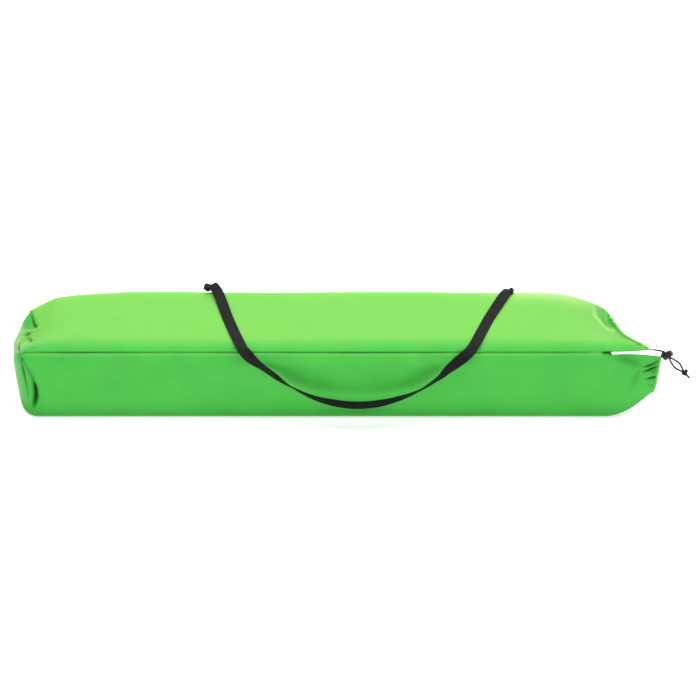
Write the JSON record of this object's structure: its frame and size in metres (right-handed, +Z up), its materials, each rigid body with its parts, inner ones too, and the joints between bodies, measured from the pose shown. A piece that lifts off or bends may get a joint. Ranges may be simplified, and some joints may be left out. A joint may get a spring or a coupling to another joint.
{
  "type": "packed pop-up canopy",
  "caption": "Folded pop-up canopy frame packed in a long box-shaped green carry bag with a webbing shoulder strap and a drawstring mouth with a cord lock.",
  "frame": {"origin": "centre of the bag's flat underside, on the surface it lies on", "axes": "+X along the bag to its mouth, +Y from the front panel, where the strap hangs, to the back panel, +Z up"},
  "size_m": [1.8118, 0.3149, 0.2551],
  "materials": {
    "bag_fabric": "matte",
    "roof_cloth": "matte",
    "strap_webbing": "matte",
    "drawcord": "matte",
    "lock_plastic": "satin",
    "spring_steel": "satin",
    "painted_steel": "satin",
    "bracket_nylon": "satin"
  },
  "bodies": {
    "bag": {"bag_back_panel": "bag_fabric", "bag_bottom_panel": "bag_fabric", "bag_front_panel": "bag_fabric", "bag_end_panel": "bag_fabric", "bag_mouth": "bag_fabric", "drawcord_loop": "drawcord"},
    "bag_top": {"bag_top_panel": "bag_fabric", "drawcord_end_a": "drawcord", "drawcord_end_b": "drawcord"},
    "strap": {"carry_strap": "strap_webbing"},
    "cord_lock": {"cord_lock_barrel": "lock_plastic", "cord_lock_spring": "spring_steel"},
    "plunger": {"cord_lock_plunger": "lock_plastic"},
    "canopy": {"outer_leg_lower_front": "painted_steel", "outer_leg_lower_rear": "painted_steel", "outer_leg_upper_rear": "painted_steel", "outer_leg_upper_front": "painted_steel", "top_bracket_lower_front": "bracket_nylon", "top_bracket_lower_rear": "bracket_nylon", "top_bracket_upper_rear": "bracket_nylon", "top_bracket_upper_front": "bracket_nylon", "slider_lower_front": "bracket_nylon", "slider_lower_rear": "bracket_nylon", "slider_upper_rear": "bracket_nylon", "slider_upper_front": "bracket_nylon", "under_bar_1_outer": "painted_steel", "under_bar_1_inner": "painted_steel", "under_bar_2_outer": "painted_steel", "under_bar_2_inner": "painted_steel", "under_roof_bar_a": "painted_steel", "under_roof_bar_b": "painted_steel", "rear_bar_1_outer": "painted_steel", "rear_bar_1_inner": "painted_steel", "rear_bar_2_outer": "painted_steel", "rear_bar_2_inner": "painted_steel", "rear_roof_bar_a": "painted_steel", "rear_roof_bar_b": "painted_steel", "upper_bar_1_outer": "painted_steel", "upper_bar_1_inner": "painted_steel", "upper_bar_2_outer": "painted_steel", "upper_bar_2_inner": "painted_steel", "upper_roof_bar_a": "painted_steel", "upper_roof_bar_b": "painted_steel", "front_bar_1_outer": "painted_steel", "front_bar_1_inner": "painted_steel", "front_bar_2_outer": "painted_steel", "front_bar_2_inner": "painted_steel", "front_roof_bar_a": "painted_steel", "front_roof_bar_b": "painted_steel", "centre_pole": "painted_steel", "roof_hub": "bracket_nylon", "roof_cover": "roof_cloth"},
    "leg_lower_front": {"inner_leg_lower_front": "painted_steel"},
    "leg_lower_rear": {"inner_leg_lower_rear": "painted_steel"},
    "leg_upper_rear": {"inner_leg_upper_rear": "painted_steel"},
    "leg_upper_front": {"inner_leg_upper_front": "painted_steel"},
    "knob_lower_front": {"latch_knob_lower_front": "lock_plastic"},
    "knob_lower_rear": {"latch_knob_lower_rear": "lock_plastic"},
    "knob_upper_rear": {"latch_knob_upper_rear": "lock_plastic"},
    "knob_upper_front": {"latch_knob_upper_front": "lock_plastic"}
  },
  "joints": [
    {"name": "canopy_out", "type": "slide", "parent": "bag", "child": "canopy", "axis": [1, 0, 0], "range_m": [0, 1.72], "deforming": ["bag_mouth", "drawcord_loop"]},
    {"name": "bag_sag", "type": "slide", "parent": "bag", "child": "bag_top", "axis": [0, 0, -1], "range_m": [0, 0.073], "deforming": ["bag_top_panel", "bag_front_panel", "bag_back_panel", "bag_end_panel", "bag_mouth", "drawcord_loop", "carry_strap"]},
    {"name": "strap_swing", "type": "hinge", "parent": "bag_top", "child": "strap", "pos_m": [0.062, 0.125, 0.232], "axis": [-1, 0, 0], "range_deg": [0, 130]},
    {"name": "lock_slide", "type": "slide", "parent": "bag_top", "child": "cord_lock", "axis": [0.6429, 0, -0.7659], "range_m": [0, 0.045], "deforming": ["drawcord_end_a", "drawcord_end_b"]},
    {"name": "plunger_press", "type": "slide", "parent": "cord_lock", "child": "plunger", "axis": [-0.7659, 0, -0.6429], "range_m": [0, 0.0025], "stiffness_N_per_m": 300, "springref_m": -0.002, "deforming": ["cord_lock_spring"]},
    {"name": "leg_extend_lower_front", "type": "slide", "parent": "canopy", "child": "leg_lower_front", "axis": [1, 0, 0], "range_m": [0, 0.8]},
    {"name": "leg_extend_lower_rear", "type": "slide", "parent": "canopy", "child": "leg_lower_rear", "axis": [1, 0, 0], "range_m": [0, 0.8]},
    {"name": "leg_extend_upper_rear", "type": "slide", "parent": "canopy", "child": "leg_upper_rear", "axis": [1, 0, 0], "range_m": [0, 0.8]},
    {"name": "leg_extend_upper_front", "type": "slide", "parent": "canopy", "child": "leg_upper_front", "axis": [1, 0, 0], "range_m": [0, 0.8]},
    {"name": "latch_pull_lower_front", "type": "slide", "parent": "canopy", "child": "knob_lower_front", "axis": [0, -1, 0], "range_m": [0, 0.004], "stiffness_N_per_m": 800, "springref_m": -0.002},
    {"name": "latch_pull_lower_rear", "type": "slide", "parent": "canopy", "child": "knob_lower_rear", "axis": [0, 1, 0], "range_m": [0, 0.004], "stiffness_N_per_m": 800, "springref_m": -0.002},
    {"name": "latch_pull_upper_rear", "type": "slide", "parent": "canopy", "child": "knob_upper_rear", "axis": [0, 1, 0], "range_m": [0, 0.004], "stiffness_N_per_m": 800, "springref_m": -0.002},
    {"name": "latch_pull_upper_front", "type": "slide", "parent": "canopy", "child": "knob_upper_front", "axis": [0, -1, 0], "range_m": [0, 0.004], "stiffness_N_per_m": 800, "springref_m": -0.002}
  ],
  "couplings": [
    {"joint": "bag_sag", "follows": "canopy_out", "ratio": 0.042},
    {"joint": "leg_extend_lower_front", "follows": "canopy_out", "ratio": 0.45},
    {"joint": "leg_extend_lower_rear", "follows": "canopy_out", "ratio": 0.45},
    {"joint": "leg_extend_upper_rear", "follows": "canopy_out", "ratio": 0.45},
    {"joint": "leg_extend_upper_front", "follows": "canopy_out", "ratio": 0.45}
  ]
}
